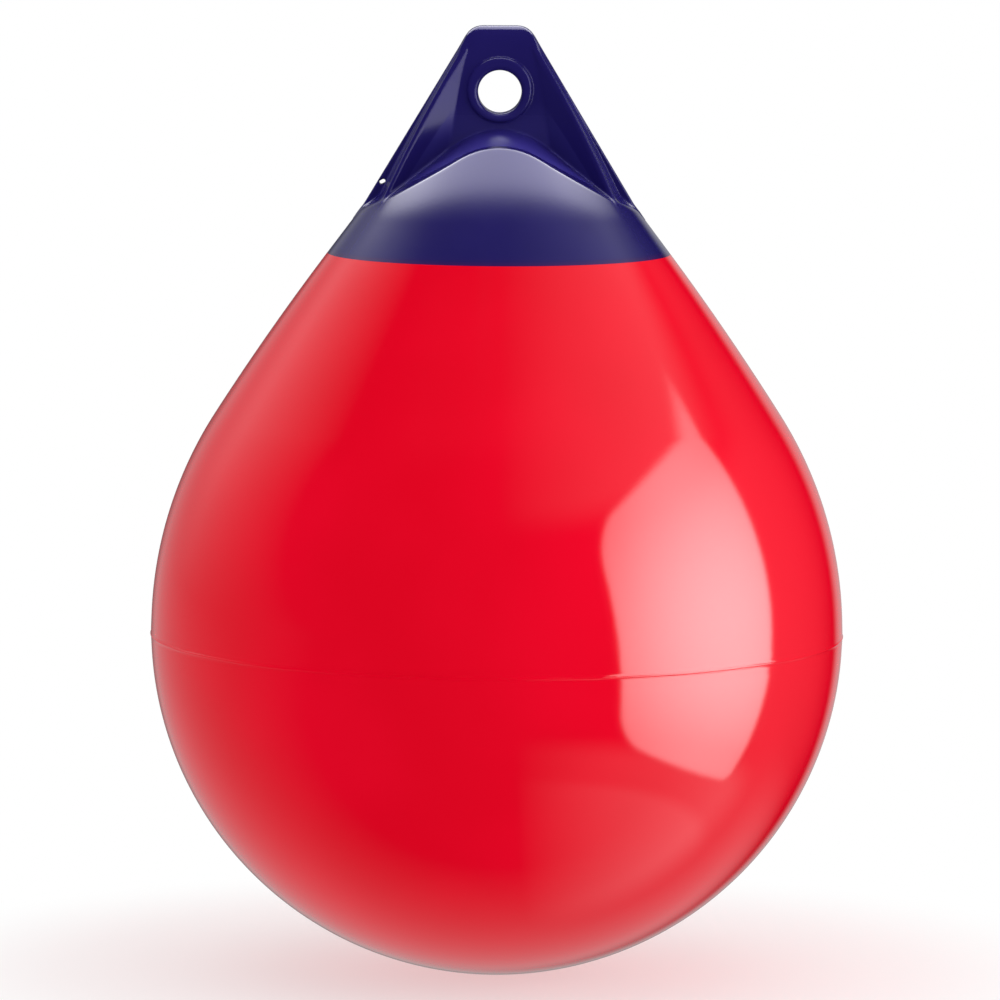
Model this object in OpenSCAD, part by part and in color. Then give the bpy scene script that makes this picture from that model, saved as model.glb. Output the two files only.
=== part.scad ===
// Inflatable teardrop mooring buoy with a moulded rope hold.
// Millimetres, Z up, origin on the axis at the height of the moulding seam.

/* [Body] */
// widest diameter of the inflated body
body_d = 432; // [300:1:700]
// height of the widest plane above the moulding seam
belly_z = 2.5; // [0:0.5:10]
// diameter at the colour line, where the rope hold begins
line_d = 213.2; // [180:0.1:250]
// radius of the long neck arc, in radii of the shoulder arc below it
neck_k = 6.5; // [5:0.1:8]
// thickness of the vinyl wall
wall_t = 3.75; // [2.5:0.25:5]
// how far the seam bead stands out of the wall
seam_h = 0.6; // [0.3:0.1:1.2]
// radius of the round seam bead
seam_r = 1.6; // [1.2:0.1:2.5]

/* [Lap joint] */
// thickness of the skirt lip over the spigot, measured level
lip_t = 4.5; // [3:0.1:6]
// room for the bond between lip and spigot, measured level
bond_gap = 0.2; // [0.1:0.05:0.4]
// thickness of the spigot, measured level
spigot_t = 4; // [3:0.1:6]
// height of the spigot above the colour line
spigot_h = 22; // [12:1:26]
// depth of the thickened collar below the colour line
collar_h = 12; // [8:1:20]

/* [Rope hold] */
// height of the rope hold above the colour line
hold_h = 141.2; // [125:0.1:160]
// thickness of the skirt above the lip, measured level
skirt_t = 7; // [5:0.5:10]
// height of the shoulders, where the fin edges meet the skirt
shoulder_h = 28.4; // [24:0.1:32]
// height of the roof ridge above the colour line
roof_h = 78.9; // [70:0.1:86]
// thickness of the roof
roof_t = 7; // [5:0.5:10]
// width over which the roof ridge is rounded
ridge_w = 52; // [30:1:60]
// fall of the ridge to front and back, for each unit outwards
roof_fall = 0.194; // [0.1:0.002:0.25]
// how much flatter the roof is at the front than in the middle
roof_fan = 0.68; // [0.6:0.01:1]
// thickness of the web between the ribs
web_t = 17; // [14:0.5:20]
// thickness of the fins outside the ribs
fin_t = 10; // [7:0.5:12]
// width of the lug across its top corners
web_top_w = 49.6; // [44:0.2:56]
// radius of the top corners
corner_r = 12; // [8:0.5:14]
// radius across the crown, front to back
crown_r = 8; // [5:0.5:8]

/* [Ribs] */
// width of the flat land along each rib
land_w = 6.5; // [5:0.1:9]
// how far the rib lands lie inside the fin edges at the top
rib_inset = 0.5; // [0.4:0.1:2]
// how far the rib lands lie inside the fin edges at the foot
foot_inset = 7; // [5:0.1:9]
// distance between the front and back rib lands at the foot
rib_foot_w = 79; // [70:0.5:86]
// half width of the flat web between the creases, at the top
crease_top = 22.5; // [18:0.1:24]
// half width of the flat web between the creases, at the foot
crease_foot = 37; // [30:0.1:45]
// height of the rib feet above the shoulders
foot_rise = 4.5; // [3:0.1:6]
// length of the drain slot in the foot of the left fin
slot_w = 5.2; // [3:0.1:5.4]
// width of the drain slot
slot_h = 2.6; // [2.4:0.1:4]
// slant of the drain slot, degrees
slot_slant = 24; // [0:1:30]
// height of the drain slot above the shoulders
slot_rise = 15.9; // [13:0.1:18]

/* [Rope eye] */
// diameter of the rope eye
eye_d = 27; // [22:0.5:30]
// height of the eye below the crown
eye_drop = 40.6; // [38:0.1:46]
// radius that rounds the mouth of the eye
eye_round = 3; // [2:0.25:4]
// diameter of the raised boss around the eye
boss_d = 40.6; // [38:0.1:44]
// thickness of the boss, front to back
boss_t = 23; // [20:0.5:26]
// how far the boss stands above the eye's own centre
boss_lift = 1.4; // [0:0.1:2]

/* [Valve] */
// height of the valve above the colour line, on the back of the skirt
valve_h = 44; // [40:0.5:48]
// diameter of the bush flange
bush_flange_d = 24; // [20:0.5:26]
// diameter of the bush body
bush_d = 16; // [15:0.5:18]
// length of the bush body below its flange
bush_len = 13; // [10:0.5:16]
// diameter of the threaded hole
thread_d = 10; // [9:0.5:11]
// diameter of the plug head
plug_head_d = 17; // [15:0.5:19]
// thickness of the plug head
plug_head_t = 3.2; // [2.5:0.1:4]
// section diameter of the sealing ring
ring_d = 1.5; // [1.2:0.1:1.6]

/* [Hidden] */
$fn = 96;

body_r = body_d / 2;
line_r = line_d / 2;
// the arcs meet on the rays of whole-number triangles: 336-527-625 and 3-4-5
turn_c = 0.8432;
turn_s = 0.5376;
cone_c = 0.8;
cone_s = 0.6;
cone_k = cone_s / cone_c;
shoulder_r = (body_r - line_r) / (1 - turn_c + neck_k * (turn_c - cone_c));
neck_r = neck_k * shoulder_r;
shoulder_x = body_r - shoulder_r;
join_x = shoulder_x + shoulder_r * turn_c;
join_z = belly_z + shoulder_r * turn_s;
neck_x = join_x - neck_r * turn_c;
neck_z = join_z - neck_r * turn_s;
line_z = neck_z + neck_r * cone_s;
crown_z = line_z + hold_h;
ridge_z = line_z + roof_h;
side_z = line_z + shoulder_h;
side_x = line_r - cone_k * shoulder_h;
low_z = line_z + shoulder_h / 2;
foot_z = side_z + foot_rise;
eye_z = crown_z - eye_drop;
corner_z = crown_z - corner_r;
rib_z = corner_z - 4;
fin_k = (side_x - web_top_w / 2) / (corner_z - side_z);
fin_lean = atan(fin_k);
corner_x = web_top_w / 2 - corner_r / cos(fin_lean);
valve_z = line_z + valve_h;
valve_y = line_r - cone_k * valve_h;
valve_tilt = -acos(cone_s);
flange_top = 1.5;
flange_low = -1;
body_red = [0.88, 0.03, 0.12];
hold_navy = [0.14, 0.13, 0.38];
valve_white = [0.93, 0.93, 0.90];
seal_black = [0.06, 0.06, 0.06];

// radius of the skirt cone at height z
function cone_at(z) = line_r - cone_k * (z - line_z);
// half width of the fin edges at height z
function fin_x(z) = web_top_w / 2 + fin_k * (corner_z - z);
// share of the way down a rib, from 0 at its top to 1 at the shoulders
function down(z) = (rib_z - z) / (rib_z - side_z);
// outer edge of the rib lands at height z
function land_x(z) = fin_x(z) - rib_inset - (foot_inset - rib_inset) * down(z);
// distance of the rib lands from the middle plane at height z
function land_y(z) = web_t / 2 + 0.5 + (rib_foot_w - web_t - 1) / 2 * down(z);
// crease where a rib's inner face leaves the web at height z
function crease_x(z) = crease_top + (crease_foot - crease_top) * down(z);

// half of the teardrop's section, moved inwards by inset
module teardrop_area(inset) {
  intersection() {
    translate([0, belly_z])
      circle(body_r - inset);
    translate([0, belly_z - body_r])
      square([body_r, body_r]);
  }
  intersection() {
    translate([shoulder_x, belly_z])
      circle(shoulder_r - inset);
    translate([0, belly_z])
      square([body_r, join_z - inset * turn_s - belly_z]);
  }
  intersection() {
    translate([neck_x, neck_z])
      circle(neck_r - inset, $fn = 360);
    translate([0, join_z - inset * turn_s])
      square([body_r, line_z - join_z + inset * (turn_s - cone_s)]);
  }
}

// band of the skirt cone between two heights, set in by a level amount
module cone_area(low, high, inset) {
  polygon([
    [0, low],
    [cone_at(low) - inset, low],
    [cone_at(high) - inset, high],
    [0, high]
  ]);
}

// red vinyl body, moulded hollow, with the spigot that the rope hold laps
module body_shell() {
  spigot_in = lip_t + bond_gap + spigot_t;
  color(body_red)
    rotate_extrude()
      difference() {
        union() {
          teardrop_area(0);
          cone_area(line_z - 1, line_z + spigot_h, lip_t + bond_gap);
          translate([body_r + seam_h - seam_r, 0])
            circle(seam_r);
        }
        intersection() {
          teardrop_area(wall_t);
          translate([0, -body_r])
            square([body_r, body_r + line_z - collar_h]);
        }
        cone_area(line_z - collar_h - 0.5, line_z + spigot_h + 1, spigot_in);
      }
}

// section of the roof at a distance out from the middle plane
module tent_area(out, low) {
  half = ridge_w / 2;
  pitch = (ridge_z - side_z) / (side_x - half / 2) * (1 - (1 - roof_fan) * out / line_r);
  peak = ridge_z - roof_fall * out + pitch * half / 2;
  ridge = [for (t = [0 : 0.1 : 1.01]) [half * (1 - 2 * t), peak - pitch * half * (t * t + (1 - t) * (1 - t))]];
  polygon(concat(
    [[-line_r, low], [line_r, low], [line_r, peak - pitch * line_r]],
    ridge,
    [[-line_r, peak - pitch * line_r]]
  ));
}

// all that lies under the roof, which falls to the front and to the back
module under_roof(low) {
  hull()
    for (out = [-line_r, 0, line_r])
      translate([0, out, 0])
        rotate([90, 0, 0])
          linear_extrude(0.01, center = true)
            tent_area(abs(out), low);
}

// skirt cone closed by the roof
module dome(low, inset, drop) {
  intersection() {
    rotate_extrude()
      cone_area(low, ridge_z + 5, inset);
    translate([0, 0, -drop])
      under_roof(low - 5);
  }
}

// upright outline of the lug out to the fin edges
module fin_area() {
  arc = [for (a = [0 : 6 : 90 - fin_lean + 0.01]) [corner_x + corner_r * sin(a), corner_z + corner_r * cos(a)]];
  tangent = 90 - fin_lean;
  right = concat(
    arc,
    [[corner_x + corner_r * sin(tangent), corner_z + corner_r * cos(tangent)], [fin_x(low_z), low_z]]
  );
  polygon(concat(right, [for (i = [len(right) - 1 : -1 : 0]) [-right[i][0], right[i][1]]]));
}

// upright outline of the thicker web, which ends under the rib lands
module web_area() {
  edge = land_w / 2;
  intersection() {
    fin_area();
    polygon([
      [-land_x(low_z) + edge, low_z],
      [land_x(low_z) - edge, low_z],
      [land_x(rib_z) - edge, rib_z],
      [fin_x(rib_z) + 2, rib_z + 1],
      [fin_x(rib_z) + 2, crown_z + 1],
      [-fin_x(rib_z) - 2, crown_z + 1],
      [-fin_x(rib_z) - 2, rib_z + 1],
      [-land_x(rib_z) + edge, rib_z]
    ]);
  }
}

// cross section of the crown, front to back
module crown_area() {
  half = web_t / 2;
  flat = half - crown_r;
  translate([-half, line_z])
    square([web_t, hold_h - crown_r]);
  translate([-flat, line_z])
    square([2 * flat, hold_h]);
  for (y = [-flat, flat])
    translate([y, crown_z - crown_r])
      circle(crown_r);
}

// outline of one pair of ribs, level, at height z
module rib_area(z) {
  half = web_t / 2;
  polygon([
    [crease_x(z), -half + 0.2],
    [land_x(z) - land_w, -land_y(z)],
    [land_x(z), -land_y(z)],
    [land_x(z) + rib_inset / 2, -fin_t / 2 + 0.3],
    [land_x(z) + rib_inset / 2, fin_t / 2 - 0.3],
    [land_x(z), land_y(z)],
    [land_x(z) - land_w, land_y(z)],
    [crease_x(z), half - 0.2]
  ]);
}

// front and back rib of one side, through the web
module rib_pair() {
  hull() {
    translate([0, 0, low_z])
      linear_extrude(0.01)
        rib_area(low_z);
    translate([0, 0, rib_z])
      linear_extrude(0.01)
        rib_area(rib_z);
  }
}

// round boss with eased edges around the eye
module eye_boss() {
  ease = 1.5;
  half = boss_t / 2;
  translate([0, 0, eye_z + boss_lift])
    rotate([90, 0, 0])
      rotate_extrude() {
        translate([0, -half])
          square([boss_d / 2 - ease, boss_t]);
        translate([0, -half + ease])
          square([boss_d / 2, boss_t - 2 * ease]);
        for (y = [-half + ease, half - ease])
          translate([boss_d / 2 - ease, y])
            circle(ease);
      }
}

// bore of the eye with its rounded mouths
module eye_bore() {
  half = boss_t / 2;
  mouth = eye_d / 2 + eye_round;
  translate([0, 0, eye_z])
    rotate([90, 0, 0]) {
      cylinder(h = boss_t + 2, d = eye_d, center = true);
      for (side = [0, 180])
        rotate([side, 0, 0])
          rotate_extrude()
            difference() {
              translate([0, half - eye_round])
                square([mouth, eye_round + 1]);
              translate([mouth, half - eye_round])
                circle(eye_round);
            }
    }
}

// half section of the steep cone that ends the ribs at their feet
module foot_area() {
  steep = cone_k / 2;
  polygon([
    [0, line_z],
    [cone_at(foot_z) + steep * (foot_z - line_z), line_z],
    [cone_at(foot_z) - steep * (crown_z + 1 - foot_z), crown_z + 1],
    [0, crown_z + 1]
  ]);
}

// fins, web, ribs and boss, the ribs ended by the foot cone
module lug() {
  rotate([90, 0, 0])
    linear_extrude(fin_t, center = true)
      fin_area();
  intersection() {
    union() {
      intersection() {
        rotate([90, 0, 0])
          linear_extrude(web_t + 4, center = true)
            web_area();
        rotate([90, 0, 90])
          linear_extrude(4 * fin_x(line_z), center = true)
            crown_area();
      }
      rib_pair();
      mirror([1, 0, 0])
        rib_pair();
      eye_boss();
    }
    rotate_extrude()
      foot_area();
  }
}

// places children on the back of the skirt, square to the cone
module at_valve() {
  translate([0, valve_y, valve_z])
    rotate([valve_tilt, 0, 0])
      children();
}

// small slot through the foot of the left fin that lets rain drain
module drain_slot() {
  slot_z = side_z + slot_rise;
  translate([-(fin_x(slot_z) + land_x(slot_z)) / 2, 0, slot_z])
    rotate([0, -slot_slant, 0])
      cube([slot_w, fin_t + 1, slot_h], center = true);
}

// navy rope hold: skirt, roof, web, ribs, fins and eye in one moulding
module rope_hold() {
  color(hold_navy)
    difference() {
      union() {
        dome(line_z, 0, 0);
        lug();
      }
      rotate_extrude()
        cone_area(line_z - 1, line_z + spigot_h + 0.3, lip_t);
      dome(line_z + spigot_h, skirt_t, roof_t);
      eye_bore();
      drain_slot();
      at_valve() {
        cylinder(h = 40, d = bush_d + 0.2, center = true);
        translate([0, 0, flange_low])
          cylinder(h = 10, d = bush_flange_d + 0.4);
      }
    }
}

// white bush that is bonded into the skirt and takes the screw plug
module valve_bush() {
  color(valve_white)
    at_valve()
      difference() {
        union() {
          translate([0, 0, flange_low])
            cylinder(h = flange_top - flange_low, d = bush_flange_d);
          translate([0, 0, flange_low - bush_len])
            cylinder(h = bush_len + 1, d = bush_d);
        }
        translate([0, 0, -bush_len - 3])
          cylinder(h = bush_len + 8, d = thread_d + 0.6);
        cylinder(h = 4, d = thread_d + 2 * ring_d + 1.4);
      }
}

// rubber ring that seals the plug in the bush
module valve_seal() {
  color(seal_black)
    at_valve()
      translate([0, 0, ring_d / 2 + 0.05])
        rotate_extrude()
          translate([thread_d / 2 + 0.3 + ring_d / 2, 0])
            circle(ring_d / 2);
}

// screw plug with a coin slot
module valve_plug() {
  under = ring_d + 0.1;
  color(valve_white)
    at_valve()
      difference() {
        union() {
          translate([0, 0, under])
            cylinder(h = plug_head_t, d = plug_head_d);
          translate([0, 0, flange_low - bush_len + 3])
            cylinder(h = under - flange_low + bush_len - 2, d = thread_d);
        }
        translate([0, 0, under + plug_head_t])
          cube([plug_head_d + 2, 2.4, 3.2], center = true);
      }
}

body_shell();
rope_hold();
valve_bush();
valve_seal();
valve_plug();
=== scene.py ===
import math
import bpy
import numpy as np
from mathutils import Matrix, Vector


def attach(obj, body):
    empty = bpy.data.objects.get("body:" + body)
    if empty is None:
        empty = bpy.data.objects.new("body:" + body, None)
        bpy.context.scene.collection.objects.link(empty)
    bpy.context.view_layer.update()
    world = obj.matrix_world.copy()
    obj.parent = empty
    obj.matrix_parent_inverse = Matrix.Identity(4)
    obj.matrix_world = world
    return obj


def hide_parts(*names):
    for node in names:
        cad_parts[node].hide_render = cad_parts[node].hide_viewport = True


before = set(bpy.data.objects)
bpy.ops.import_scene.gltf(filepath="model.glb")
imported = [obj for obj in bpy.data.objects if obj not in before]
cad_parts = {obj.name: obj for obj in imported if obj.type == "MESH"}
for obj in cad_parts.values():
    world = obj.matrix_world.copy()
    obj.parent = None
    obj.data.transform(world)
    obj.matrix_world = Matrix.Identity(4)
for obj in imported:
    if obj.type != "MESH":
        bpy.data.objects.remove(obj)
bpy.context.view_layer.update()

scene = bpy.context.scene
scene.view_settings.view_transform = "Standard"
mm = 0.001  # shapes are worked out in millimetres

# camera: far away, a little above the rope hold
shot = {
    "distance": 4.599,     # from the aim point
    "elevation": 6.316,    # degrees above level
    "aimHeight": 0.08363,  # aim point on the axis
    "aimSide": 0.00156,    # the axis stands a little left of the middle
    "roll": 0.33,          # the buoy leans to the right by this many degrees
    "lens": 265.1,
}


def placeCamera(s):
    # the camera looks along its own -Z, so its axes come straight from the two angles
    el = math.radians(s["elevation"])
    roll = math.radians(s["roll"])
    back = Vector((0, -math.cos(el), math.sin(el)))
    right = Vector((1, 0, 0))
    up = back.cross(right)
    side = right * math.cos(roll) + up * math.sin(roll)
    head = up * math.cos(roll) - right * math.sin(roll)
    at = Vector((s["aimSide"], 0, s["aimHeight"])) + back * s["distance"]
    data = bpy.data.cameras.new("photoCamera")
    data.lens = s["lens"]
    data.sensor_width = 36
    data.sensor_fit = "HORIZONTAL"
    data.clip_end = 60
    cam = bpy.data.objects.new("photoCamera", data)
    cam.matrix_world = Matrix((
        (side.x, head.x, back.x, at.x),
        (side.y, head.y, back.y, at.y),
        (side.z, head.z, back.z, at.z),
        (0, 0, 0, 1),
    ))
    scene.collection.objects.link(cam)
    scene.camera = cam


placeCamera(shot)
print("camera placed")


# shader expressions: a Wire is a socket, and sums of Wires add Math nodes
class Wire:
    def __init__(self, finish, socket):
        self.finish = finish
        self.socket = socket

    def math(self, operation, a, b):
        return self.finish.node("ShaderNodeMath", {"operation": operation}, {0: a, 1: b})

    def __add__(self, other):
        return self.math("ADD", self, other)

    def __radd__(self, other):
        return self.math("ADD", other, self)

    def __sub__(self, other):
        return self.math("SUBTRACT", self, other)

    def __rsub__(self, other):
        return self.math("SUBTRACT", other, self)

    def __mul__(self, other):
        return self.math("MULTIPLY", self, other)

    def __rmul__(self, other):
        return self.math("MULTIPLY", other, self)

    def __truediv__(self, other):
        return self.math("DIVIDE", self, other)

    def __pow__(self, other):
        return self.math("POWER", self, other)

    def __abs__(self):
        return self.math("ABSOLUTE", self, 0.0)

    def atLeast(self, other):
        return self.math("MAXIMUM", self, other)

    def atMost(self, other):
        return self.math("MINIMUM", self, other)

    def below(self, other):
        return self.math("LESS_THAN", self, other)


# a node tree under construction, of a material, a lamp or the world
class Finish:
    def __init__(self, tree):
        self.tree = tree
        tree.nodes.clear()

    def node(self, kind, settings=None, values=None, out=0):
        made = self.tree.nodes.new(kind)
        for key, value in (settings or {}).items():
            setattr(made, key, value)
        for key, value in (values or {}).items():
            if isinstance(value, Wire):
                self.tree.links.new(value.socket, made.inputs[key])
            else:
                made.inputs[key].default_value = value
        return Wire(self, made.outputs[out]) if len(made.outputs) else None

    def spread(self, value, low, high):
        # 0 at low, 1 at high, eased between and level outside them
        return self.node("ShaderNodeMapRange", {"interpolation_type": "SMOOTHSTEP"},
                         {"Value": value, "From Min": low, "From Max": high})

    def blend(self, share, a, b):
        # colour between a and b
        return self.node("ShaderNodeMix", {"data_type": "RGBA"}, {0: share, 6: a, 7: b}, out=2)

    def noise(self, where, scale, detail):
        return self.node("ShaderNodeTexNoise", None,
                         {"Vector": where, "Scale": scale, "Detail": detail, "Roughness": 0.5})

    def bump(self, strength, depth, height):
        return self.node("ShaderNodeBump", None,
                         {"Strength": strength, "Distance": depth, "Height": height})

    def place(self):
        return self.node("ShaderNodeTexCoord", out=3)

    def parts(self, vector):
        cut = self.node("ShaderNodeSeparateXYZ", None, {0: vector}).socket.node
        return [Wire(self, s) for s in cut.outputs]

    def along(self, vector, way):
        # share of the vector along a fixed direction
        return self.node("ShaderNodeVectorMath", {"operation": "DOT_PRODUCT"},
                         {0: vector, 1: tuple(way)}, out=1)


def newFinish(name):
    mat = bpy.data.materials.new(name)
    mat.use_nodes = True
    return mat, Finish(mat.node_tree)


def closeFinish(finish, values):
    shader = finish.node("ShaderNodeBsdfPrincipled", None, values)
    finish.node("ShaderNodeOutputMaterial", None, {"Surface": shader})


# red vinyl: clear deep red, high gloss with a faint orange peel
redVinyl = {
    "deep": (0.72, 0.0004, 0.0135, 1),
    "clear": (0.79, 0.0008, 0.0185, 1),
    "peel": 260,          # bumps per metre of the orange peel
    "peelDepth": 0.00003,
}


def makeRedVinyl(s):
    mat, f = newFinish("redVinyl")
    at = f.place()
    cloud = f.noise(at, 5.0, 3.0)
    speck = f.noise(at, 900.0, 1.0)
    colour = f.blend(f.spread(cloud, 0.32, 0.68), s["deep"], s["clear"])
    rough = 0.055 + cloud * 0.03 + speck * 0.02
    peel = f.noise(at, s["peel"], 1.5)
    bump = f.bump(0.25, s["peelDepth"], peel)
    closeFinish(f, {"Base Color": colour, "Roughness": rough, "Normal": bump, "IOR": 1.5})
    return mat


# navy vinyl: denser and a little softer in its gloss
navyVinyl = {
    "deep": (0.0100, 0.0066, 0.082, 1),
    "clear": (0.0122, 0.0084, 0.096, 1),
    "warm": (0.036, 0.0045, 0.062, 1),  # purple tint just above the colour line
    "line": 0.2383,                     # height of the colour line
    "lineFade": 0.0035,
    "pocketPaintedLight": (0.0165, 0.0120, 0.118, 1),  # painted light: lighter navy inside the pockets, lifting the shade between lug and roof
    "cone": 0.28533,                    # radius + 0.75 height on the skirt
    "landY": 0.009, "ribZ": 0.3665, "landK": 0.3194,  # reach of the ribs from the middle plane
    "tint": (0.80, 0.78, 1.0, 1),
    "satin": 0.13, "gloss": 0.3,        # specular level of the lug and of the skirt
    "peel": 420,
    "peelDepth": 0.00003,
}


def makeNavyVinyl(s):
    mat, f = newFinish("navyVinyl")
    at = f.place()
    x, y, z = f.parts(at)
    cloud = f.noise(at, 11.0, 3.0)
    colour = f.blend(f.spread(cloud, 0.3, 0.7), s["deep"], s["clear"])
    edge = f.spread(z, s["line"] + s["lineFade"], s["line"])
    colour = f.blend(edge * 0.7, colour, s["warm"])
    rough = 0.11 + cloud * 0.05
    peel = f.noise(at, s["peel"], 2.0)
    bump = f.bump(0.3, s["peelDepth"], peel)
    # the skirt is glossier than the lug, and the crown lies between
    outward = f.spread((x * x + y * y) ** 0.5 + z * 0.75 - s["cone"], -0.010, -0.006)
    clearOf = f.spread(abs(y) - s["landY"] - (s["ribZ"] - z) * s["landK"], 0.0005, 0.003)
    skirt = outward * clearOf.atLeast(f.spread(z, 0.272, 0.266))
    # painted light: mask of the pockets, where the base colour is lightened against the shade there; it
    # also makes the pockets rougher
    pocketPaintedLight = (1 - outward) * f.spread(z, 0.335, 0.315)
    crown = f.spread(z, 0.362, 0.370) * 0.6
    # painted light: the base colour turns to the lighter pocket navy inside the pockets
    look = {"Base Color": f.blend(pocketPaintedLight, colour, s["pocketPaintedLight"]), "Normal": bump, "IOR": 1.5,
            "Specular Tint": s["tint"]}
    satin = f.node("ShaderNodeBsdfPrincipled", None, {
        **look, "Roughness": rough + pocketPaintedLight * 0.18 + 0.04, "Specular IOR Level": s["satin"]})
    gloss = f.node("ShaderNodeBsdfPrincipled", None, {
        **look, "Roughness": rough, "Specular IOR Level": s["gloss"]})
    shown = f.node("ShaderNodeMixShader", None, {0: skirt.atLeast(crown), 1: satin, 2: gloss})
    f.node("ShaderNodeOutputMaterial", None, {"Surface": shown})
    return mat


def makeValvePlastic():
    # satin white nylon, a touch yellow in patches
    mat, f = newFinish("valvePlastic")
    at = f.place()
    cloud = f.noise(at, 160.0, 3.0)
    grain = f.noise(at, 2600.0, 2.0)
    colour = f.blend(cloud, (0.78, 0.77, 0.72, 1), (0.84, 0.84, 0.81, 1))
    bump = f.bump(0.2, 0.00003, grain)
    closeFinish(f, {"Base Color": colour, "Roughness": 0.34 + grain * 0.12, "Normal": bump})
    return mat


def makeSealRubber():
    mat, f = newFinish("sealRubber")
    at = f.place()
    grain = f.noise(at, 1800.0, 3.0)
    colour = f.blend(grain, (0.010, 0.010, 0.010, 1), (0.028, 0.027, 0.026, 1))
    bump = f.bump(0.3, 0.00002, grain)
    closeFinish(f, {"Base Color": colour, "Roughness": 0.55 + grain * 0.2, "Normal": bump})
    return mat


redMat = makeRedVinyl(redVinyl)
navyMat = makeNavyVinyl(navyVinyl)
valveMat = makeValvePlastic()
rubberMat = makeSealRubber()
print("finishes ready")


def putPiece(name, pts, faces, normals, mat, body, node):
    mesh = bpy.data.meshes.new(name)
    mesh.from_pydata((pts * mm).tolist(), [], faces)
    mesh.polygons.foreach_set("use_smooth", np.ones(len(mesh.polygons), bool))
    mesh.normals_split_custom_set_from_vertices(normals.tolist())
    mesh.materials.append(mat)
    piece = bpy.data.objects.new(name, mesh)
    scene.collection.objects.link(piece)
    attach(piece, body)
    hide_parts(node)
    print(name, len(pts), "points,", len(faces), "faces")
    return piece


def rays(turn):
    # level unit vectors at the given angles
    return np.stack([np.cos(turn), np.sin(turn), 0 * turn], -1)[None]


def evenTurn(cols):
    return np.arange(cols) * (2 * math.pi / cols)


def carried(profile, ray):
    # points (radius, height) carried round the axis, one ring for each
    return profile[:, :1, None] * ray + profile[:, 1:, None] * np.array([0.0, 0.0, 1.0])


def ringFaces(rows, cols, first=0):
    # quads between rings of equal length, each ring closed on itself, wound to face outwards
    i = np.arange(rows - 1)[:, None] * cols
    j = np.arange(cols)[None, :]
    k = (j + 1) % cols
    quads = np.stack([i + j, i + k, i + cols + k, i + cols + j], -1) + first
    return quads.reshape(-1, 4)


# body shell
shell = {
    "ballR": 216.0, "bellyZ": 2.5,           # lower half ball
    "shoulderR": 250.0, "shoulderX": -34.0,  # arc above the belly
    "neckR": 1625.0, "neckX": -1193.4, "neckZ": -736.7,
    "turnAngle": 32.52, "lineAngle": 36.87,  # where the arcs meet, and the colour line
    "spigotIn": 4.7, "spigotH": 22.0, "spigotT": 4.0,
    "cols": 400,
    "seamZ": 0.0,
    "beadH": 0.42, "beadW": 1.9,             # low bead of the moulding seam
    "grooveH": 0.34, "grooveW": 0.42,        # fine lines along it
    "swellH": 0.16, "swellW": 9.0,           # slight swelling beside it
}


def arc(cx, cz, radius, low, high, count):
    # points and outward normals on an arc: centre + radius (cos a, sin a)
    a = np.radians(np.linspace(low, high, count))
    n = np.stack([np.cos(a), np.sin(a)], -1)
    return np.array([cx, cz]) + radius * n, n


def hump(t):
    # smooth hump, 1 at 0 and flat at +-1
    return np.where(np.abs(t) < 1, 0.5 + 0.5 * np.cos(np.pi * np.clip(t, -1, 1)), 0)


def wander(turn, waves, size):
    # slow irregular drift round the seam: sine waves that fit whole turns
    k = np.array(waves)[:, None]
    return size * np.sin(k * turn[None, :] + 1.7 * k * k).sum(0) / math.sqrt(len(waves))


def seamHeight(z, turn, s):
    # a low bead with two fine lines that drift and fade, on a broad slight swelling
    drift = wander(turn, (2, 3, 7, 11, 19), 0.35)
    ragged = wander(turn, (23, 37, 41, 58, 71), 0.13)
    fade = 0.65 + wander(turn, (4, 9, 13, 31), 0.25)
    z = z[:, None] - s["seamZ"]
    bead = s["beadH"] * hump((z - 0.4 * drift) / s["beadW"])
    upper = hump((z - 0.75 - drift - ragged) / s["grooveW"])
    lower = hump((z + 0.85 - 0.6 * drift + ragged) / s["grooveW"])
    swell = s["swellH"] * hump((z - 1.0) / s["swellW"]) * (0.6 + wander(turn, (3, 5, 8), 0.35))
    return bead + swell - s["grooveH"] * (upper * fade + 0.5 * lower)


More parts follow.
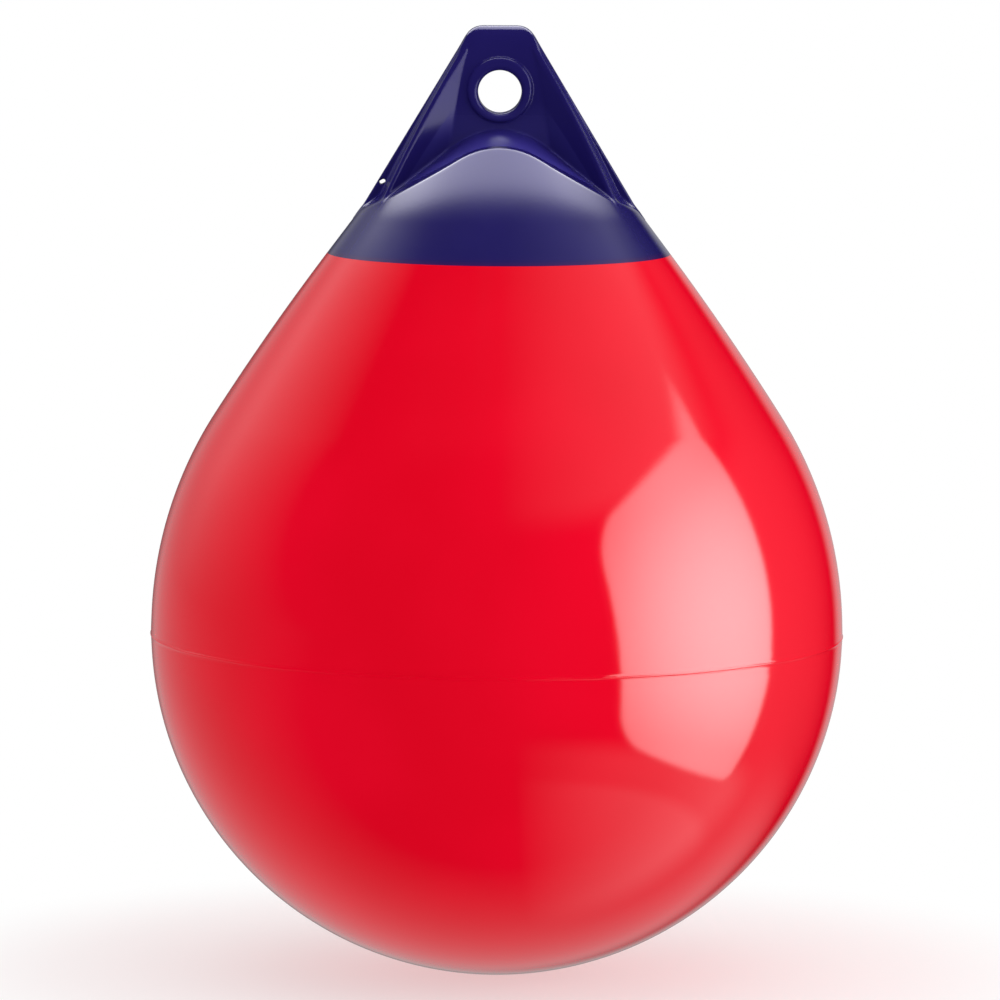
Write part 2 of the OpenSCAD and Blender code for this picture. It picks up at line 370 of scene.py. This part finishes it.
def makeShell(s):
    # revolve of half ball, shoulder and neck arcs, rows packed at the seam, plus the hidden spigot
    seamSpan = math.degrees(7.0 / s["ballR"])
    base = math.degrees(math.asin((s["seamZ"] - s["bellyZ"]) / s["ballR"]))
    runs = [
        arc(0, s["bellyZ"], s["ballR"], -89.6, base - seamSpan, 86),
        arc(0, s["bellyZ"], s["ballR"], base - seamSpan, 0, 34),
        arc(s["shoulderX"], s["bellyZ"], s["shoulderR"], 0, 1.2, 16),
        arc(s["shoulderX"], s["bellyZ"], s["shoulderR"], 1.2, s["turnAngle"], 48),
        arc(s["neckX"], s["neckZ"], s["neckR"], s["turnAngle"], s["lineAngle"], 34),
    ]
    p = np.concatenate([runs[0][0]] + [r[0][1:] for r in runs[1:]])
    n = np.concatenate([runs[0][1]] + [r[1][1:] for r in runs[1:]])
    turn = evenTurn(s["cols"])
    lift = seamHeight(p[:, 1], turn, s)
    along = np.gradient(p, axis=0)
    step = np.hypot(along[:, 0], along[:, 1])[:, None]
    riseUp = np.gradient(lift, axis=0) / step
    riseRound = (np.roll(lift, -1, 1) - np.roll(lift, 1, 1)) / (4 * math.pi / s["cols"] * p[:, :1])
    radial = rays(turn)
    roundWay = np.stack([-np.sin(turn), np.cos(turn), 0 * turn], -1)[None]
    outward = carried(n, radial)
    upward = carried(np.stack([-n[:, 1], n[:, 0]], -1), radial)
    pts = carried(p, radial) + lift[..., None] * outward
    nor = outward - riseUp[..., None] * upward - riseRound[..., None] * roundWay
    nor /= np.linalg.norm(nor, axis=-1, keepdims=True)
    # hidden top: a step in under the skirt, the spigot, and a lid
    top = p[-1]
    inner = top[0] - s["spigotIn"]
    rise = 0.75 * s["spigotH"]
    lid = np.array([[inner, top[1]], [inner - rise, top[1] + s["spigotH"]],
                    [inner - rise - s["spigotT"], top[1] + s["spigotH"]]])
    lidN = np.array([[0, 1.0], [0.8, 0.6], [0, 1.0]])
    pts = np.concatenate([pts, carried(lid, radial)]).reshape(-1, 3)
    nor = np.concatenate([nor, carried(lidN, radial)]).reshape(-1, 3)
    rows = len(pts) // s["cols"]
    poles = np.array([[0, 0, s["bellyZ"] - s["ballR"]], [0, 0, top[1] + s["spigotH"]]])
    pts = np.concatenate([pts, poles])
    nor = np.concatenate([nor, [[0, 0, -1], [0, 0, 1]]])
    j = np.arange(s["cols"])
    k = (j + 1) % s["cols"]
    last = (rows - 1) * s["cols"]
    south = np.stack([np.full_like(j, rows * s["cols"]), k, j], -1)
    north = np.stack([np.full_like(j, rows * s["cols"] + 1), last + j, last + k], -1)
    faces = ringFaces(rows, s["cols"]).tolist() + south.tolist() + north.tolist()
    return putPiece("bodyShell", pts, faces, nor, redMat, "buoy", "body_shell")


makeShell(shell)


# rope hold
hold = {
    "lineZ": 238.3, "lineR": 106.6, "coneK": 0.75,
    "wall": 4.5, "hollow": 22.3,            # the hollow over the spigot
    "bendZ": 262.0, "bend": 0.0020,         # the skirt curves in towards its rim
    "ridgeZ": 317.2, "sideZ": 266.7, "pitch": 0.6985, "ridgeHalf": 26.0,
    "fall": 0.205, "fan": 0.32,
    "crownZ": 379.9, "cornerZ": 367.5, "cornerX": 24.8, "finK": 0.6002,
    "cornerR": 6.1, "crownR": 7.8, "webHalf": 8.5, "finHalf": 5.0,
    "ribZ": 366.5, "ribFootY": 39.5, "ribInset": 1.0, "footInset": 6.0,
    "landTop": 4.2, "landW": 2.1,           # flat front of the ribs
    "landBow": 0.28,                        # the lands are a little hollow along their length
    "creaseTop": 19.6, "creaseFoot": 38.2,
    "footZ": 271.2, "footR": 81.9, "footK": 0.375,
    "eyeZ": 338.9, "eyeR": 13.5, "eyeRound": 3.2,
    "bossZ": 340.3, "bossR": 20.3, "bossHalf": 11.5, "bossRound": 2.4,
    "slotX": -72.6, "slotZ": 282.6, "slotHalfW": 2.0, "slotHalfH": 1.3, "slotSlant": 28.0,
    "valveY": 73.6, "valveZ": 282.3, "valveBore": 10.4, "valveDeep": 16.0,
    "rimRound": 0.9, "webFillet": 2.0, "ribRound": 0.8,
    "step": 0.98, "low": 258.6,
}


def both(a, b, r):
    # inside both fields, with the edge where they meet rounded to radius r
    return np.minimum(-r, np.maximum(a, b)) + np.hypot(np.maximum(r + a, 0), np.maximum(r + b, 0))


def either(a, b, r):
    # inside either field, with a fillet of radius r in the corner
    return -both(-a, -b, r)


def holdField(x, y, z, s=hold):
    # distance to the moulding's surface in mm, negative inside
    ax = np.abs(x)
    ay = np.abs(y)
    rho = np.hypot(x, y)
    bend = s["bend"] * np.maximum(z - s["bendZ"], 0) ** 2
    skirt = (rho - (s["lineR"] - s["coneK"] * (z - s["lineZ"]) - bend)) * 0.8
    pitch = s["pitch"] * (1 - s["fan"] * ay / s["lineR"])
    h = s["ridgeHalf"]
    ease = np.where(ax < h, (ax * ax + h * h) / (2 * h), ax)
    ridge = s["ridgeZ"] - s["fall"] * ay + 0.5 * h * pitch
    slope = pitch * np.minimum(ax / h, 1)
    roof = (z - ridge + pitch * ease) / np.sqrt(1.04 + slope * slope)
    dome = both(skirt, roof, s["rimRound"])
    # lug outline: fin edges and crown, rounded at the top corners
    fin = s["cornerX"] + s["finK"] * (s["cornerZ"] - z)
    down = (s["ribZ"] - z) / (s["ribZ"] - s["sideZ"])
    share = np.maximum(down, 0)
    inset = s["ribInset"] * np.clip((s["ribZ"] + 7 - z) / 9, 0, 1) + s["footInset"] * share ** 2.4
    landX = fin - inset
    stand = s["webHalf"] + 0.5
    landY = stand + (s["ribFootY"] - stand) * down * (1 - s["landBow"] * (1 - down))
    finEdge = both((ax - fin) * 0.857, z - s["crownZ"] + 2.2, s["cornerR"])
    webEdge = both((ax - landX) * 0.857, z - s["crownZ"] - 1.0, s["cornerR"] + 0.7)
    crown = both(ay - s["webHalf"], (z - s["crownZ"]) * 0.62, s["crownR"])
    web = both(webEdge, crown, 1.5)
    lug = either(both(finEdge, ay - s["finHalf"], 1.2), web, 0.8)
    # ribs: flat land, outer face and the facet that runs in to the crease
    landW = s["landTop"] + (s["landW"] - s["landTop"]) * np.clip(down / 0.2, 0, 1)
    innerX = landX - 0.4 - 0.08 * landY - landW
    creaseX = s["creaseTop"] + (s["creaseFoot"] - s["creaseTop"]) * down
    tx = np.maximum(innerX - creaseX, 0.3)
    ty = np.maximum(landY, s["webHalf"] + 0.2) - s["webHalf"] + 0.2
    facet = ((ay - s["webHalf"] + 0.2) * tx - (ax - creaseX) * ty) / np.hypot(tx, ty) * 0.93
    land = (ay - landY) * 0.954
    outer = (ax - landX + 0.4 + 0.08 * ay) * 0.885
    rib = np.maximum(both(both(land, outer, 1.2), facet, 1.1), z - s["ribZ"] - 2.0)
    foot = (rho - s["footR"] + s["footK"] * (z - s["footZ"])) * 0.936
    lug = either(lug, both(rib, foot, 1.2), s["ribRound"])
    ring = np.hypot(x, z - s["bossZ"]) - s["bossR"]
    lug = either(lug, both(ring, ay - s["bossHalf"], s["bossRound"]), 1.2)
    body = either(dome, lug, s["webFillet"])
    body = both(body, s["eyeR"] - np.hypot(x, z - s["eyeZ"]), s["eyeRound"])
    # drain slot through the left fin
    c = math.cos(math.radians(s["slotSlant"]))
    w = math.sin(math.radians(s["slotSlant"]))
    along = np.abs((x - s["slotX"]) * c + (z - s["slotZ"]) * w) - s["slotHalfW"]
    across = np.abs((z - s["slotZ"]) * c - (x - s["slotX"]) * w) - s["slotHalfH"]
    slot = both(both(along, across, 1.1), ay - s["finHalf"] - 1.5, 0.5)
    body = both(body, -slot, 0.5)
    # bore for the valve bush, square to the skirt
    deep = (y - s["valveY"]) * 0.8 + (z - s["valveZ"]) * 0.6
    side = np.hypot(x, (y - s["valveY"]) * 0.6 - (z - s["valveZ"]) * 0.8)
    return np.maximum(body, np.minimum(s["valveBore"] - side, deep + s["valveDeep"]))


def slopeOf(field, p, e=0.04):
    # gradient by central differences
    x, y, z = p.T
    return np.stack([field(x + e, y, z) - field(x - e, y, z),
                     field(x, y + e, z) - field(x, y - e, z),
                     field(x, y, z + e) - field(x, y, z - e)], -1) / (2 * e)


def toSurface(field, p, rounds=3, reach=0.6):
    # Newton steps along the gradient, each no longer than reach
    for _ in range(rounds):
        g = slopeOf(field, p)
        move = field(*p.T)[:, None] * g / np.maximum((g * g).sum(1, keepdims=True), 0.05)
        size = np.linalg.norm(move, axis=1, keepdims=True)
        p = p - move * np.minimum(1, reach / np.maximum(size, 1e-9))
    return p


def netSurface(field, low, high, step):
    # surface nets: a point in each grid cell that the surface crosses, a quad round each crossed edge
    axes = [np.arange(a, b + step, step).astype(np.float32) for a, b in zip(low, high)]
    f = field(axes[0][:, None, None], axes[1][None, :, None], axes[2][None, None, :])
    shape = np.array(f.shape)
    cells = shape - 1
    total = int(np.prod(cells))
    sums = np.zeros((total, 3))
    hits = np.zeros(total)
    quads = []
    for axis in range(3):
        u = (axis + 1) % 3
        v = (axis + 2) % 3
        one = np.eye(3, dtype=int)[axis]
        a = np.take(f, range(shape[axis] - 1), axis)
        b = np.take(f, range(1, shape[axis]), axis)
        edge = np.argwhere((a < 0) != (b < 0))
        fa = f[tuple(edge.T)]
        fb = f[tuple((edge + one).T)]
        spot = edge + one * (fa / (fa - fb))[:, None]
        corners = []
        inside = np.ones(len(edge), bool)
        for du, dv in ((1, 1), (0, 1), (0, 0), (1, 0)):
            cell = edge.copy()
            cell[:, u] -= du
            cell[:, v] -= dv
            ok = ((cell >= 0) & (cell < cells)).all(1)
            flat = np.where(ok, (cell * [cells[1] * cells[2], cells[2], 1]).sum(1), 0)
            for c in range(3):
                sums[:, c] += np.bincount(flat[ok], spot[ok, c], total)
            hits += np.bincount(flat[ok], minlength=total)
            corners.append(flat)
            inside &= ok
        quad = np.stack(corners, -1)
        quad = np.where((fa < 0)[:, None], quad, quad[:, ::-1])
        quads.append(quad[inside])
    quads = np.concatenate(quads)
    used = np.unique(quads)
    fresh = np.zeros(total, int)
    fresh[used] = np.arange(len(used))
    pts = np.array([a[0] for a in axes]) + step * sums[used] / hits[used][:, None]
    return pts, fresh[quads]


def neighbourMean(pts, edges):
    total = np.bincount(edges.ravel(), minlength=len(pts))[:, None]
    mean = np.stack([np.bincount(edges[:, 0], pts[edges[:, 1], c], len(pts))
                     + np.bincount(edges[:, 1], pts[edges[:, 0], c], len(pts)) for c in range(3)], -1)
    return mean / np.maximum(total, 1)


def makeHold(s):
    reach = s["lineR"] - s["coneK"] * (s["low"] - s["lineZ"]) + 3
    pts, quads = netSurface(holdField, (-reach, -reach, s["low"]),
                            (reach, reach, s["crownZ"] + 2), s["step"])
    edges = np.concatenate([quads[:, [i, (i + 1) % 4]] for i in range(4)])
    edges, count = np.unique(np.sort(edges, 1), axis=0, return_counts=True)
    rim = edges[count == 1]
    loop = np.unique(rim)
    # the open lower edge becomes an even circle on the skirt
    pairs = np.searchsorted(loop, rim)
    turn = np.arctan2(pts[loop, 1], pts[loop, 0])
    for _ in range(300):
        gap = turn[pairs[:, 1]] - turn[pairs[:, 0]]
        gap = (gap + math.pi) % (2 * math.pi) - math.pi
        pull = np.bincount(pairs[:, 0], gap, len(loop)) - np.bincount(pairs[:, 1], gap, len(loop))
        turn = turn + 0.25 * pull
    ringZ = s["low"] + 0.5 * s["step"]
    ringR = s["lineR"] - s["coneK"] * (ringZ - s["lineZ"])
    circle = np.stack([ringR * np.cos(turn), ringR * np.sin(turn), np.full_like(turn, ringZ)], -1)
    pts = toSurface(holdField, pts)
    free = np.ones(len(pts), bool)
    free[loop] = False
    pts[loop] = circle
    for _ in range(8):
        pts[free] += 0.5 * (neighbourMean(pts, edges) - pts)[free]
        pts[free] = toSurface(holdField, pts[free], 2)
    nor = slopeOf(holdField, pts, 0.4)
    nor /= np.linalg.norm(nor, axis=1, keepdims=True)
    # skirt below the net: rings down to the colour line, the lip, and the hollow over the spigot
    order = np.argsort(turn)
    turn = turn[order]
    down = np.linspace(ringZ, s["lineZ"], 15)[1:]
    lip = s["lineR"] - s["wall"]
    coneR = s["lineR"] - s["coneK"] * (down - s["lineZ"])
    rowR = np.concatenate([coneR, [lip, lip - s["coneK"] * s["hollow"]]])
    rowZ = np.concatenate([down, [s["lineZ"], s["lineZ"] + s["hollow"]]])
    rowN = np.concatenate([np.tile([[0.8, 0.6]], (len(down), 1)), [[-0.8, -0.6], [0, -1.0]]])
    ray = rays(turn)
    ringP = carried(np.stack([rowR, rowZ], -1), ray).reshape(-1, 3)
    ringN = carried(rowN, ray).reshape(-1, 3)
    n = len(turn)
    first = len(pts)
    j = np.arange(n)
    k = (j + 1) % n
    seat = loop[order]
    joint = np.stack([first + j, first + k, seat[k], seat[j]], -1)
    skirt = ringFaces(len(rowN), n, first)[:, ::-1]
    last = first + (len(rowN) - 1) * n
    centre = first + len(ringP)
    cap = np.stack([np.full_like(j, centre), last + k, last + j], -1)
    pts = np.concatenate([pts, ringP, [[0, 0, s["lineZ"] + s["hollow"]]]])
    nor = np.concatenate([nor, ringN, [[0, 0, -1.0]]])
    faces = quads.tolist() + joint.tolist() + skirt.tolist() + cap.tolist()
    return putPiece("ropeHold", pts, faces, nor, navyMat, "buoy", "rope_hold")


makeHold(hold)


# valve on the back of the skirt, its own frame square to the cone
valve = {
    "at": (0.0, 73.6, 282.3), "axis": (0.0, 0.8, 0.6),
    "flangeR": 12.0, "flangeLow": -2.4, "flangeTop": 1.5, "flangeRound": 0.9,
    "bodyR": 8.0, "bodyLow": -14.0, "holeR": 5.3, "seatR": 7.2,
    "cols": 128,
    "headR": 8.5, "headLow": 1.6, "headTop": 4.8, "headRound": 0.8,
    "coinHalf": 1.2, "coinDeep": 1.6,
    "shankR": 4.95, "shankLow": -11.0, "pitch": 2.5, "threadDeep": 0.55,
    "grips": 36, "gripDeep": 0.22, "step": 0.26,
}


def toValve(p, s, turnOnly=False):
    # from the valve's own axes, its Z along the plug, to the part's
    w = np.array(s["axis"])
    u = np.array([1.0, 0.0, 0.0])
    v = np.cross(w, u)
    moved = p[:, :1] * u + p[:, 1:2] * v + p[:, 2:] * w
    return moved if turnOnly else moved + np.array(s["at"])


def makeBush(s):
    # one closed profile carried round the valve's axis: body, flange with eased edges, seat and hole
    r = s["flangeRound"]
    inR = 0.4
    up = np.array([[0, 1.0]])
    out = np.array([[1.0, 0]])
    runs = [
        (np.array([[s["holeR"], s["bodyLow"]], [s["bodyR"], s["bodyLow"]]]), np.repeat(-up, 2, 0)),
        (np.array([[s["bodyR"], s["bodyLow"]], [s["bodyR"], s["flangeLow"]]]), np.repeat(out, 2, 0)),
        (np.array([[s["bodyR"], s["flangeLow"]], [s["flangeR"], s["flangeLow"]]]), np.repeat(-up, 2, 0)),
        (np.array([[s["flangeR"], s["flangeLow"]]]), out),
        arc(s["flangeR"] - r, s["flangeTop"] - r, r, 0, 90, 7),
        arc(s["seatR"] + inR, s["flangeTop"] - inR, inR, 90, 180, 7),
        (np.array([[s["seatR"], 0.0]]), -out),
        (np.array([[s["seatR"], 0.0], [s["holeR"] + 0.3, 0.0]]), np.repeat(up, 2, 0)),
        (np.array([[s["holeR"], -0.3], [s["holeR"], s["bodyLow"]]]), np.repeat(-out, 2, 0)),
    ]
    p = np.concatenate([q[0] for q in runs])
    n = np.concatenate([q[1] for q in runs])
    ray = rays(evenTurn(s["cols"]))
    pts = carried(p, ray).reshape(-1, 3)
    nor = carried(n, ray).reshape(-1, 3)
    faces = ringFaces(len(p), s["cols"]).tolist()
    return putPiece("valveBush", toValve(pts, s), faces, toValve(nor, s, True), valveMat,
                    "buoy", "valve_bush")


def plugField(x, y, z, s=valve):
    # screw plug: gripped head with a coin slot, and a shank whose radius follows a thread
    rho = np.hypot(x, y)
    turn = np.arctan2(y, x)
    grip = s["gripDeep"] * (0.5 - 0.5 * np.cos(s["grips"] * turn))
    head = both(rho - s["headR"] + grip, np.abs(z - 0.5 * (s["headLow"] + s["headTop"]))
                - 0.5 * (s["headTop"] - s["headLow"]), s["headRound"])
    coin = both(np.abs(y) - s["coinHalf"], s["headTop"] - s["coinDeep"] - z, 0.3)
    head = both(head, -coin, 0.25)
    phase = (z / s["pitch"] - turn / (2 * math.pi)) % 1.0
    groove = s["threadDeep"] * np.clip(np.abs(phase - 0.5) * 4 - 0.5, 0, 1)
    shank = (rho - s["shankR"] + groove) * 0.82
    shank = np.maximum(shank, np.maximum(s["shankLow"] - z, z - s["headLow"] - 0.4))
    tip = (rho - s["shankR"] + 0.9 - (z - s["shankLow"]) * 0.9) * 0.74
    return either(head, np.maximum(shank, tip), 0.2)


def makePlug(s):
    r = s["headR"] + 1
    pts, quads = netSurface(plugField, (-r, -r, s["shankLow"] - 1),
                            (r, r, s["headTop"] + 1), s["step"])
    pts = toSurface(plugField, pts, 3, 0.15)
    nor = slopeOf(plugField, pts, 0.02)
    nor /= np.linalg.norm(nor, axis=1, keepdims=True)
    return putPiece("valvePlug", toValve(pts, s), quads.tolist(), toValve(nor, s, True), valveMat,
                    "plug", "valve_plug")


makeBush(valve)
makePlug(valve)

for slotInfo in bpy.data.objects["valve_seal"].material_slots:
    slotInfo.material = rubberMat
print("valve ready")

# studio
studio = {
    "floorZ": -0.2137, "floorR": 0.42,
    "ambient": 0.98,
    "boxWay": (84.2, 10.0),                        # azimuth and elevation of the soft box on the right
    "boxMid": (-0.31, -0.20), "boxHalf": (0.66, 0.80),  # its window, for a distance of 1
    "boxPeak": (72.0, 3.0), "boxGlow": 10.0,        # brightest spot
    "topMid": 2.0, "topHalf": (1.37, 2.28), "topGlow": 10.0,  # panel overhead, at a height of 1
}


def compass(azimuth, elevation):
    # unit vector; azimuth 0 is towards the camera, 90 to the right
    a = math.radians(azimuth)
    e = math.radians(elevation)
    return Vector((math.sin(a) * math.cos(e), -math.cos(a) * math.cos(e), math.sin(e)))


def aimLamp(name, at, toward, size, radiance):
    # an area lamp whose face has the given radiance; its picture in the gloss is the world's
    data = bpy.data.lights.new(name, "AREA")
    data.shape = "RECTANGLE"
    data.size = size[0]
    data.size_y = size[1]
    data.energy = radiance * size[0] * size[1] * math.pi
    lamp = bpy.data.objects.new(name, data)
    way = (Vector(at) - Vector(toward)).normalized()
    turned = way.to_track_quat("Z", "Y").to_matrix().to_4x4()
    lamp.matrix_world = Matrix.Translation(Vector(at)) @ turned
    lamp.visible_camera = False
    lamp.visible_glossy = False
    scene.collection.objects.link(lamp)


def makeFloor(s):
    # flat disc in rings; its rim is pure white, the middle keeps the shadow
    radii = np.linspace(0.02, 1.0, 12) * s["floorR"] / mm
    ray = rays(evenTurn(96))
    pts = (radii[:, None, None] * ray).reshape(-1, 3) + [0, 0, s["floorZ"] / mm]
    pts = np.concatenate([pts, [[0, 0, s["floorZ"] / mm]]])
    j = np.arange(96)
    k = (j + 1) % 96
    faces = ringFaces(12, 96)[:, ::-1].tolist()
    faces += np.stack([np.full_like(j, len(pts) - 1), j, k], -1).tolist()
    mesh = bpy.data.meshes.new("floor")
    mesh.from_pydata((pts * mm).tolist(), [], faces)
    mat, f = newFinish("floorWhite")
    x, y, z = f.parts(f.place())
    far = f.spread((x * x + y * y), (0.60 * s["floorR"]) ** 2, (0.97 * s["floorR"]) ** 2)
    matt = f.node("ShaderNodeBsdfDiffuse", None, {"Color": (0.86, 0.86, 0.86, 1)})
    white = f.node("ShaderNodeEmission", None, {"Strength": 1.0})
    shown = f.node("ShaderNodeMixShader", None, {0: far * 0.5 + 0.5, 1: matt, 2: white})
    f.node("ShaderNodeOutputMaterial", None, {"Surface": shown})
    mesh.materials.append(mat)
    floor = bpy.data.objects.new("floor", mesh)
    floor.visible_diffuse = False  # the studio lights the underside as well
    floor.visible_glossy = False
    scene.collection.objects.link(floor)


def softBox(f, way, s):
    # bright window with rounded left corners, in the plane square to its direction
    w = compass(*s["boxWay"])
    u = compass(s["boxWay"][0] + 90, 0)
    v = w.cross(u)
    depth = f.along(way, w).atLeast(0.02)
    a = f.along(way, u) / depth - s["boxMid"][0]
    b = f.along(way, v) / depth - s["boxMid"][1]
    r = a.below(0.0) * 0.23 + 0.07
    p = abs(a) - s["boxHalf"][0] + r
    q = abs(b) - s["boxHalf"][1] + r
    out = (p.atLeast(0.0) ** 2 + q.atLeast(0.0) ** 2) ** 0.5 + p.atLeast(q).atMost(0.0) - r
    glow = f.along(way, compass(*s["boxPeak"])).atLeast(0.0) ** 3.7 * s["boxGlow"]
    return f.spread(out, 0.03, -0.03) * glow


def makeWorld(s):
    # white to the camera, an even light on the surfaces, and the studio itself in the gloss
    world = bpy.data.worlds.new("studio")
    scene.world = world
    world.use_nodes = True
    f = Finish(world.node_tree)
    way = f.node("ShaderNodeTexCoord", out=0)
    x, y, z = f.parts(way)
    high = z.atLeast(0.0)
    deep = (z * -1).atLeast(0.0)
    side = f.spread(x, -0.12, 0.2) * f.spread(deep, 0.6, 0.35)
    leftHigh = high * f.spread(x, -0.1, -0.5) * f.spread(y, 0.85, 0.6) * 1.1
    wall = (y * (leftHigh + deep * 0.25 + 0.16) + 0.085).atLeast(0.0).atMost(0.5)
    wall = wall * (1 - f.spread(y, 0.92, 1.0) * (f.spread(z, 0.02, 0.08) * 0.2 + 0.8))
    right = (0.24 - y * 0.28).atLeast(0.0) * f.spread(y, -0.4, 0.15) * f.spread(z, 0.6, 0.4)
    right = right + f.spread(y, 0.86, 0.94) * f.spread(z, 0.3, 0.1) * 0.25
    ceiling = x.atLeast(0.0) * 0.55 * f.spread(z, 0.5, 0.66) * f.spread(y, 0.7, 0.45)
    lower = f.spread(deep, 0.45, 0.58) * 0.6 + f.spread(deep, 0.66, 0.72) * 0.45
    bounce = (x - 0.1).atLeast(0.0) * lower * f.spread(y, 0.45, 0.15)
    a = x / z.atLeast(0.05)
    b = y / z.atLeast(0.05)
    p = a * (1 / s["topHalf"][0])
    q = (b - s["topMid"]) * (1 / s["topHalf"][1])
    top = f.spread(p * p + q * q, 1.02, 0.96) * f.spread(z, 0.1, 0.3) * s["topGlow"]
    top = top * f.spread(b, 1.55, 1.05)
    top = top * (1 - f.spread(abs(a + 0.07), 0.70, 1.35) * 0.83)
    dim = (wall * (1 - side) + right * side + ceiling + bounce) * 1.9
    mirror = dim + top + softBox(f, way, s)
    path = f.node("ShaderNodeLightPath").socket.node
    camera, glossy, through = (Wire(f, path.outputs[n]) for n in
                               ("Is Camera Ray", "Is Glossy Ray", "Is Transmission Ray"))
    seen = camera.atLeast(through)
    level = glossy * mirror + (1 - glossy) * (s["ambient"] - z * 0.1)
    level = level * (1 - seen) + seen
    back = f.node("ShaderNodeBackground", None, {"Color": (1, 1, 1, 1), "Strength": level})
    f.node("ShaderNodeOutputWorld", None, {"Surface": back})


makeFloor(studio)
makeWorld(studio)
aimLamp("sideLamp", Vector((0, 0, 0.08)) + compass(75, 0) * 3.0, (0, 0, 0.0), (3.0, 3.2), 1.3)
aimLamp("topLamp", (0.0, -0.3, 2.4), (0.0, 0.0, 0.2), (2.6, 2.6), 0.7)
print("studio ready")
